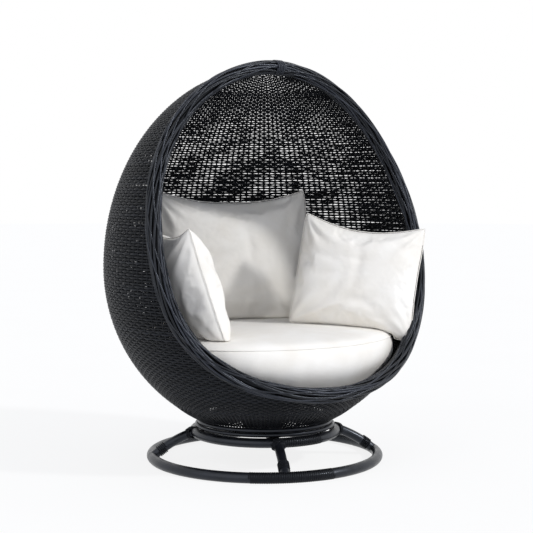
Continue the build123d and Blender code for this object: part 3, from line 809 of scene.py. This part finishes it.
class POD_OT_windings(bpy.types.Operator):
    """Winds cane round the rings beside the front leg, and lashes every leg's head and foot"""
    bl_idname = "pod.windings"
    bl_label = "Wind and lash"

    def execute(self, context):
        sizes = context.scene.pod_base
        front = leg_bearing(0)
        # Piece: its node, its ring, and where it begins and ends in degrees from the front leg.
        spans = {
            "floor_ring_winding": ("floor_ring_wrap", FLOOR_RING, (-17.0, 24.0)),
            "top_ring_winding": ("top_ring_wrap", TOP_RING, (2.0, 38.0)),
        }
        for name, (node, (radius, pole, height), (first, last)) in spans.items():
            begin, end = front + math.radians(first), front + math.radians(last)
            turns = round((end - begin) * radius / sizes.winding_pitch)
            points, faces = winding(radius, pole, height, begin, end, turns)
            piece = make_piece(name, points, faces, cane_finish(), np.full(len(points), 0.35))
            settle(piece, "base", node)
        self.lashings(sizes)
        return {"FINISHED"}

    def lashings(self, sizes):
        """Diagonal loops at each leg's head, ovals in planes at 45 degrees to leg and ring, and
        turns round each leg's foot."""
        cane = sizes.lashing_cane
        heads, feet = [], []
        for index in range(LEGS):
            line = leg_line(index)
            bearing = leg_bearing(index)
            ring_way = np.array([-math.sin(bearing), math.cos(bearing), 0.0])
            down = unit(line[6] - line[2])
            joint = line[0] + down * 0.012
            square = np.cross(ring_way, down)
            turn = np.linspace(0, TAU, 40, endpoint=False)
            reach = TOP_RING[1] + cane
            for sign in (-1, 1):
                for shift in (-1.5, -0.5, 0.5, 1.5):
                    normal = unit(ring_way + sign * down)
                    long_way = unit(ring_way - sign * down)
                    oval = (long_way * (1.36 * reach * np.cos(turn))[:, None]
                            + square * ((reach + 0.0006 * (sign + 1)) * np.sin(turn))[:, None])
                    heads.append(joint + normal * shift * 2.3 * cane + oval)
            lower = leg_line(index, 0.66, 0.84, 161)
            angle = TAU * np.linspace(0, 5, 161)
            side = np.broadcast_to(ring_way, lower.shape)
            up = np.cross(tangents(lower[None], False)[0], side)
            feet.append(lower + (side * np.cos(angle)[:, None] + up * np.sin(angle)[:, None])
                        * (LEG_RADIUS + cane * 0.8))
        for name, lines, closed, node in (("leg_head_lashings", heads, True, None),
                                          ("leg_foot_windings", feet, False, "leg_foot_lashings")):
            points, faces = round_tube(np.array(lines), cane, 8, closed, guide=(0.31, 0.27, 0.91))
            piece = make_piece(name, points, faces, cane_finish(), np.full(len(points), 0.5))
            settle(piece, "base", node)


class POD_OT_swivel(bpy.types.Operator):
    """Finishes the swivel's plates, bars, pin and glide, and the hoop and slats under the seat"""
    bl_idname = "pod.swivel"
    bl_label = "Finish the swivel"

    def execute(self, context):
        # Finish: colour, metallic, roughness, coat, its grain's scale per metre and its depth.
        looks = {
            # Mild steel, welded and powder coated: an even satin black skin with a fine orange peel.
            "mild_steel_powder_coated": ("#17181B", 0.0, 0.45, 0.2, 900.0, 0.0002),
            # Steel, bright zinc plated: a cool grey metal with cloudy dulling.
            "steel_zinc_plated": ("#9FA3A8", 1.0, 0.38, 0.0, 600.0, 0.0001),
            # Nylon, turned: a waxy cream with faint tool marks.
            "nylon_turned": ("#CFC9B8", 0.0, 0.5, 0.0, 500.0, 0.0001),
            # Softwood slat, planed and stained dark: matt with an open grain.
            "softwood_stained": ("#2A2622", 0.0, 0.7, 0.0, 260.0, 0.0006),
        }
        painted, zinc, nylon, wood = (
            finish(name, hard_finish, name, *look) for name, look in looks.items())
        finishes = {
            "base_crossbars": painted, "swivel_lower_plate": painted, "swivel_upper_plate": painted,
            "shell_crossbars": painted, "kingpin": zinc, "kingpin_washer": zinc, "kingpin_nut": zinc,
            "glide_ring": nylon, "seat_slats": wood, "seat_hoop": pole_finish(),
        }
        for node, material in finishes.items():
            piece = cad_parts[node]
            piece.data.materials.clear()
            piece.data.materials.append(material)
        return {"FINISHED"}


# ------------------------------------------------------------------------------------------------
# Cushions
# ------------------------------------------------------------------------------------------------

def shared_sheets(columns, rows):
    """Index grids of two sheets that share their edge, and the quads of both, facing outwards."""
    index = np.arange(columns * rows).reshape(columns, rows)
    inner = np.zeros_like(index, bool)
    inner[1:-1, 1:-1] = True
    back = index.copy()
    back[inner] = columns * rows + np.arange(inner.sum())
    quads = [np.stack([g[:-1, :-1], g[1:, :-1], g[1:, 1:], g[:-1, 1:]], axis=-1).reshape(-1, 4)
             for g in (index, back)]
    return index, back, inner, [quads[0], quads[1][:, ::-1]]


def filled(piece, pressure):
    """Fill a closed cover: cloth under an even inner pressure with no gravity. Returns its points."""
    frames, stiffness, bending = 20, 15.0, 0.4
    cloth = piece.modifiers.new("fill", "CLOTH")
    settings = cloth.settings
    settings.quality = 6
    settings.mass = 0.3
    settings.tension_stiffness = stiffness
    settings.compression_stiffness = stiffness
    settings.shear_stiffness = stiffness * 0.4
    settings.bending_stiffness = bending
    settings.use_pressure = True
    settings.uniform_pressure_force = pressure
    settings.effector_weights.gravity = 0.0
    cloth.collision_settings.use_collision = False
    cloth.point_cache.frame_start = 1
    cloth.point_cache.frame_end = frames
    scene = bpy.context.scene
    for step in range(1, frames + 1):
        scene.frame_set(step)
    graph = bpy.context.evaluated_depsgraph_get()
    result = points_of(piece.evaluated_get(graph).data).astype(float)
    piece.modifiers.remove(cloth)
    scene.frame_set(1)
    return result


def seat_height(x, y):
    """The seat cushion's crowned top: flat in the middle, falling to its boxed edge."""
    share = np.hypot(x, y) / SEAT_RADIUS
    return np.interp(share, (0.0, 0.45, 0.86, 0.985, 1.0, 1.3),
                     (SEAT_TOP, SEAT_TOP, 0.491, 0.470, 0.420, 0.3))


def soften(piece):
    """Round a cover's facets, the same in the view and in the render."""
    rounding = piece.modifiers.new("rounding", "SUBSURF")
    rounding.levels = rounding.render_levels = 1


def welt(name, line, radius, sides, guide):
    """Thin welt of folded canvas along a line where two sheets are sewn."""
    points, faces = round_tube(line[None], radius, sides, True, guide)
    settle(make_piece(name, points, faces, canvas_finish()), "shell")


class POD_OT_pillows(bpy.types.Operator):
    """Sews three pillows from two sheets each, fills them and stands them on the seat"""
    bl_idname = "pod.pillows"
    bl_label = "Fill the pillows"

    def execute(self, context):
        sizes = context.scene.pod_cushions
        for number, (node, (size, turns, move, droop)) in enumerate(PILLOWS.items()):
            width, height, thick = size
            points, faces, edge = self.cover(sizes, width, height, thick, number)
            points = self.stand(points, node, size, turns, move, droop)
            piece = make_piece(node + "_cover", points, faces, canvas_finish())
            soften(piece)
            settle(piece, "shell", node)
            welt(node + "_seam", points[edge], radius=0.0016, sides=6, guide=(0.2, 0.35, 0.9))
        return {"FINISHED"}

    def cover(self, sizes, width, height, thick, number):
        """Two sheets on one seam, a little crowned, then filled: no point moves further than the cap."""
        columns, rows = (int(length / sizes.cell) + 1 for length in (width, height))
        front, back, inner, faces = shared_sheets(columns, rows)
        u, v = np.meshgrid(np.linspace(-1, 1, columns), np.linspace(-1, 1, rows), indexing="ij")
        # The cut is full at the corners and hollowed along each side by a parabola.
        corner = 1 - 0.035 * (u * v) ** 6
        x = width / 2 * u * (1 - 0.018 * (1 - v**2)) * corner
        y = height / 2 * v * (1 - 0.018 * (1 - u**2)) * corner
        # A cosine-like crown: the half thickness times ((1 - u^2)(1 - v^2)) to a power under a half.
        rise = 0.44 * thick * ((1 - u**2) * (1 - v**2)) ** 0.44
        noise = np.random.default_rng(80 + number).uniform(-1, 1, (columns, rows)) * 0.0008
        flat = np.zeros((columns * rows + inner.sum(), 3))
        flat[front.ravel()] = np.stack([x, y, rise + noise], axis=-1).reshape(-1, 3)
        flat[back[inner]] = np.stack([x, y, noise - rise], axis=-1)[inner]
        piece = make_piece("cover_on_the_table", flat, faces, canvas_finish())
        move = filled(piece, sizes.pressure) - flat
        bpy.data.objects.remove(piece)
        length = np.linalg.norm(move, axis=1, keepdims=True)
        flat = flat + move * np.minimum(1.0, MOST_MOVE / np.maximum(length, 1e-9))
        span = flat.max(axis=0) - flat.min(axis=0)
        flat -= (flat.max(axis=0) + flat.min(axis=0)) / 2
        flat *= np.array([width, height, thick]) / span
        # Slump: the filling settles, so the upper edge hangs between its ears and the belly is low.
        hang = 0.078 * height * (1 - u**2) * smooth_step(-0.2, 1.0, v)
        crease = self.creases(u, v, width, height, number)
        flat[front.ravel()] += np.stack([0 * u, -hang, crease], axis=-1).reshape(-1, 3)
        flat[back[inner]] += np.stack([0 * u, -hang, -crease], axis=-1)[inner]
        edge = np.concatenate([front[:-1, 0], front[-1, :-1], front[:0:-1, -1], front[0, :0:-1]])
        return flat, faces, edge

    def creases(self, u, v, width, height, number):
        """Creases that fan out of each corner and short pleats square to the seams.
        A fan is a cosine of the angle about its corner, and fades with the distance from it; a
        pleat is a cosine along the seam, and fades with the distance inwards."""
        rng = np.random.default_rng(60 + number)
        x, y = u * width / 2, v * height / 2
        total = np.zeros_like(u)
        for across in (-1, 1):
            for up in (-1, 1):
                dx, dy = width / 2 - across * x, height / 2 - up * y
                away, angle = np.hypot(dx, dy), np.arctan2(dy, dx)
                fan = np.cos(rng.uniform(11, 16) * angle + rng.uniform(0, TAU) + 14 * away)
                total += 0.0062 * fan * np.exp(-((away - 0.07) / 0.075) ** 2) * rng.uniform(0.6, 1.2)
        for along, inward in ((x, height / 2 - np.abs(y)), (y, width / 2 - np.abs(x))):
            wave = np.cos(TAU * along / 0.031 + 2.2 * np.cos(TAU * along / 0.17 + number))
            swell = 0.5 + 0.5 * np.cos(TAU * along / 0.13 + rng.uniform(0, TAU))
            total += 0.0030 * wave * swell * np.exp(-((inward - 0.016) / 0.016) ** 2)
        for _ in range(9):
            # A few long soft dents cross the face.
            cx, cy = rng.uniform(-0.7, 0.7) * width / 2, rng.uniform(-0.7, 0.7) * height / 2
            turn = rng.uniform(0, 3.1)
            along = (x - cx) * math.cos(turn) + (y - cy) * math.sin(turn)
            aside = (y - cy) * math.cos(turn) - (x - cx) * math.sin(turn) - 1.5 * along**2
            total -= 0.0055 * np.exp(-(along / 0.085) ** 2 - (aside / 0.017) ** 2)
        return total * ((1 - u**4) * (1 - v**4)) ** 0.3

    def stand(self, points, node, size, turns, move, droop):
        """Turn a pillow from lying flat to standing where its CAD solid is, pressed on the seat.
        Its lower corner on one side hangs by droop, fading with the square of both distances."""
        turn, lean, roll = turns
        side = np.clip(0.5 + math.copysign(1, droop) * points[:, 0] / size[0], 0, 1)
        low = np.clip(0.5 - points[:, 1] / size[1], 0, 1)
        points = points - np.array([0, 1, 0]) * (abs(droop) * side**2 * low**2)[:, None]
        turned = points @ rotation("Z", roll).T @ rotation("X", 90).T
        turned = turned @ rotation("X", -lean).T @ rotation("Z", turn).T
        low, high = (np.array(corner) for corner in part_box(node))
        sunk, clear = 0.008, 0.0008
        turned += (low + high) / 2 + np.array(move)
        turned[:, 2] -= sunk
        seat = seat_height(turned[:, 0], turned[:, 1]) + clear
        inside = np.hypot(turned[:, 0], turned[:, 1]) < SEAT_RADIUS
        turned[:, 2] = np.where(inside, np.maximum(turned[:, 2], seat), turned[:, 2])
        return turned


def rotation(axis, degrees):
    """Rotation matrix about X or Z."""
    c, s = math.cos(math.radians(degrees)), math.sin(math.radians(degrees))
    if axis == "X":
        return np.array([[1, 0, 0], [0, c, -s], [0, s, c]])
    return np.array([[c, -s, 0], [s, c, 0], [0, 0, 1]])


def seat_reach(bearing):
    """The seat's radius by bearing from the front: a circle, and a flatter arc across the front."""
    radius, front, half = SEAT_RADIUS, SEAT_FRONT, math.radians(60)
    # The arc goes through the front's middle and the circle's points 60 degrees to either side.
    x, y = radius * math.sin(half), -radius * math.cos(half)
    centre = (x * x + y * y - front * front) / (2 * (y + front))
    bow = front + centre
    toward = centre * np.cos(bearing)
    arc = -toward + np.sqrt(np.maximum(toward**2 - centre**2 + bow**2, 0))
    blend = smooth_step(math.radians(52), math.radians(68), np.abs(bearing))
    return arc * (1 - blend) + radius * blend


class POD_OT_seat(bpy.types.Operator):
    """Makes the round boxed seat cushion with a welt along its upper and lower edge"""
    bl_idname = "pod.seat"
    bl_label = "Make the seat cushion"

    def execute(self, context):
        around = 280
        bearing = np.linspace(-math.pi, math.pi, around, endpoint=False)
        # Shares of the radius and heights down the cushion's side, from the crown to the underside.
        knots = np.array([
            (0.0, SEAT_TOP), (0.3, 0.503), (0.55, 0.499), (0.78, 0.493), (0.90, 0.486), (0.965, 0.476),
            (0.993, 0.456), (1.0, 0.404), (0.965, 0.370), (0.905, 0.335), (0.85, 0.300), (0.80, 0.284),
            (0.5, SEAT_UNDERSIDE), (0.0, SEAT_UNDERSIDE)])
        length = np.concatenate([[0], np.cumsum(np.hypot(*np.diff(knots, axis=0).T))])
        even = np.linspace(0, length[-1], 84)
        profile = np.stack([np.interp(even, length, knots[:, k]) for k in range(2)], axis=-1)
        for _ in range(2):
            profile[1:-1] = (profile[:-2] + 2 * profile[1:-1] + profile[2:]) / 4
        ring = seat_reach(bearing)
        share, height = profile[1:-1, 0], profile[1:-1, 1]
        # Soft puckers run down the side and fade over the top.
        pucker = ripple(bearing, 91, 1, (5, 9, 14, 23, 37), 0.9)[0]
        side = np.exp(-((height - 0.39) / 0.06) ** 2)[:, None] * smooth_step(0.6, 0.95, share)[:, None]
        reach = ring[None] * share[:, None] + 0.0022 * pucker[None] * side
        waves = ripple(bearing, 92, 1, (2, 3, 5))[0]
        dome = 0.0018 * waves[None] * smooth_step(0.45, 0.5, height)[:, None]
        x, y = reach * np.sin(bearing), -reach * np.cos(bearing)
        points = np.stack([x, y, height[:, None] + dome * share[:, None]], axis=-1).reshape(-1, 3)
        levels = len(share)
        index = np.arange(levels * around).reshape(levels, around)
        after = np.roll(index, -1, axis=1)
        quads = np.stack([index[:-1], index[1:], after[1:], after[:-1]], axis=-1).reshape(-1, 4)
        top, bottom = levels * around, levels * around + 1
        points = np.vstack([points, [0, 0, profile[0, 1]], [0, 0, profile[-1, 1]]])
        caps = [np.stack([np.full(around, top), index[0], after[0]], axis=-1),
                np.stack([np.full(around, bottom), after[-1], index[-1]], axis=-1)]
        piece = make_piece("seat_cushion_cover", points, [quads, *caps], canvas_finish())
        soften(piece)
        settle(piece, "shell", "seat_cushion")
        for name, level in (("seat_welt_upper", 0.468), ("seat_welt_lower", 0.30)):
            row = int(np.argmin(np.abs(height - level)))
            welt(name, points[index[row]], radius=0.0022, sides=8, guide=(0, 0, 1))
        return {"FINISHED"}


# ------------------------------------------------------------------------------------------------
# Stage
# ------------------------------------------------------------------------------------------------

def seen_directly(tree):
    """1 for a ray from the camera, a reflection or through glass, and 0 for the soft light."""
    path = add_node(tree, "ShaderNodeLightPath").outputs
    either = add_node(tree, "ShaderNodeMath", {"operation": "MAXIMUM"},
                      {0: path["Is Camera Ray"], 1: path["Is Glossy Ray"]})
    return add_node(tree, "ShaderNodeMath", {"operation": "MAXIMUM"},
                    {0: either.outputs[0], 1: path["Is Transmission Ray"]}).outputs[0]


class POD_OT_stage(bpy.types.Operator):
    """Sets the floor, the light and the camera"""
    bl_idname = "pod.stage"
    bl_label = "Set the stage"

    def execute(self, context):
        sizes = context.scene.pod_stage
        self.camera(sizes)
        self.floor(sizes)
        self.world()
        self.lamps(sizes)
        context.scene.view_settings.view_transform = "Standard"
        return {"FINISHED"}

    def lamps(self, sizes):
        """A key lamp from the right and a wide soft fill from the left."""
        turn = sizes.view_turn
        right = Vector((math.cos(turn), -math.sin(turn), 0))
        toward = Vector((-math.sin(turn), -math.cos(turn), 0))
        up = Vector((0, 0, 1))
        # Name, direction to the lamp as right, toward the camera and up, strength and softness.
        lamps = (("key", (0.93, 0.40, 0.69), 1.7, 6.0), ("fill", (-0.6, 0.8, 0.4), 0.5, 60.0))
        for name, (across, near, high), strength, softness in lamps:
            light = bpy.data.lights.new(name, "SUN")
            light.energy = strength
            light.angle = math.radians(softness)
            lamp = bpy.data.objects.new(name, light)
            way = right * across + toward * near + up * high
            lamp.rotation_euler = way.to_track_quat("Z", "Y").to_euler()
            lamp.location = way * 4
            bpy.context.scene.collection.objects.link(lamp)

    def camera(self, sizes):
        """Camera on a level circle round the chair's axis; the photograph's frame is 533 wide and
        its focal length 1309 of the same units. The axis stands 1.8 left of the frame's middle."""
        width, focal, left, sensor = 533.0, 1309.0, 1.8, 36.0
        data = bpy.data.cameras.new("view")
        data.sensor_width = sensor
        data.lens = sensor * focal / width
        camera = bpy.data.objects.new("view", data)
        turn = sizes.view_turn
        away = sizes.view_distance
        camera.location = (-away * math.sin(turn), -away * math.cos(turn), sizes.view_height)
        turn += math.atan(left / focal)
        drop = sizes.view_drop
        level = math.cos(drop)
        way = Vector((math.sin(turn) * level, math.cos(turn) * level, -math.sin(drop)))
        camera.rotation_euler = way.to_track_quat("-Z", "Y").to_euler()
        bpy.context.scene.collection.objects.link(camera)
        bpy.context.scene.camera = camera

    def floor(self, sizes):
        """Wide disc of painted board: white, and brighter to the camera than to the chair."""
        made, tree, output = new_material("board_painted_white")
        # Scale 1.5 per metre is a cloud of about 70 cm, which keeps the board from looking empty.
        cloud = cloudiness(tree, object_space(tree), 1.5, 2.0)
        colour = np.array(sizes.floor[:])
        ramp = colour_ramp(tree, cloud, [(0.2, tuple(0.86 * colour)), (0.8, tuple(0.9 * colour))])
        matt = add_node(tree, "ShaderNodeBsdfDiffuse", links={"Color": ramp})
        glow = add_node(tree, "ShaderNodeEmission", {"Color": (1, 1, 1, 1), "Strength": 1.0})
        # The rest of what the camera sees is the board itself, so the chair keeps a soft shadow.
        seen = add_node(tree, "ShaderNodeMath", {"operation": "MULTIPLY", 1: 0.84},
                        {0: seen_directly(tree)})
        mix = add_node(tree, "ShaderNodeMixShader", links={0: seen.outputs[0], 1: matt.outputs[0],
                                                           2: glow.outputs[0]})
        tree.links.new(mix.outputs[0], output.inputs[0])
        corners, reach = 96, 30.0
        edge = ring_centres(reach, 0.0, np.linspace(0, TAU, corners, endpoint=False))
        points = np.vstack([edge, [0, 0, 0]])
        index = np.arange(corners)
        faces = [np.stack([index, np.roll(index, -1), np.full(corners, corners)], axis=-1)]
        board = make_piece("floor", points, faces, made)

    def world(self):
        """White to the camera and a soft cool sky to everything else."""
        world = bpy.data.worlds.new("pale")
        bpy.context.scene.world = world
        world.use_nodes = True
        tree = world.node_tree
        tree.nodes.clear()
        output = tree.nodes.new("ShaderNodeOutputWorld")
        soft = add_node(tree, "ShaderNodeBackground", {"Color": (*linear("#EEF3FF"), 1), "Strength": 0.76})
        white = add_node(tree, "ShaderNodeBackground", {"Color": (1, 1, 1, 1), "Strength": 1.0})
        mix = add_node(tree, "ShaderNodeMixShader", links={0: seen_directly(tree), 1: soft.outputs[0],
                                                           2: white.outputs[0]})
        tree.links.new(mix.outputs[0], output.inputs[0])


class POD_PT_panel(bpy.types.Panel):
    """Lists the pod chair's settings and the operators that build its pieces"""
    bl_idname = "POD_PT_panel"
    bl_label = "Pod chair"
    bl_space_type = "VIEW_3D"
    bl_region_type = "UI"
    bl_category = "Pod chair"

    def draw(self, context):
        for group in GROUPS:
            box = self.layout.box()
            settings = getattr(context.scene, group)
            for name in settings.bl_rna.properties.keys():
                if name not in ("rna_type", "name"):
                    box.prop(settings, name)
        for operator in OPERATORS:
            self.layout.operator(operator.bl_idname)


# What the scene's settings are called, and the operators in the order they run.
GROUPS = {"pod_weave": PodWeave, "pod_base": PodBase, "pod_cushions": PodCushions, "pod_stage": PodStage}
OPERATORS = (POD_OT_stage, POD_OT_weave, POD_OT_rim, POD_OT_poles, POD_OT_windings, POD_OT_swivel,
             POD_OT_seat, POD_OT_pillows)


def register():
    for group in (*GROUPS.values(), *OPERATORS, POD_PT_panel):
        bpy.utils.register_class(group)
    for name, group in GROUPS.items():
        setattr(bpy.types.Scene, name, PointerProperty(type=group))


def unregister():
    for name in GROUPS:
        delattr(bpy.types.Scene, name)
    for group in (POD_PT_panel, *reversed(OPERATORS), *GROUPS.values()):
        bpy.utils.unregister_class(group)


def main():
    """Builds every piece in order."""
    register()
    for operator in OPERATORS:
        space, name = operator.bl_idname.split(".")
        getattr(getattr(bpy.ops, space), name)()


if __name__ == "__main__":
    main()
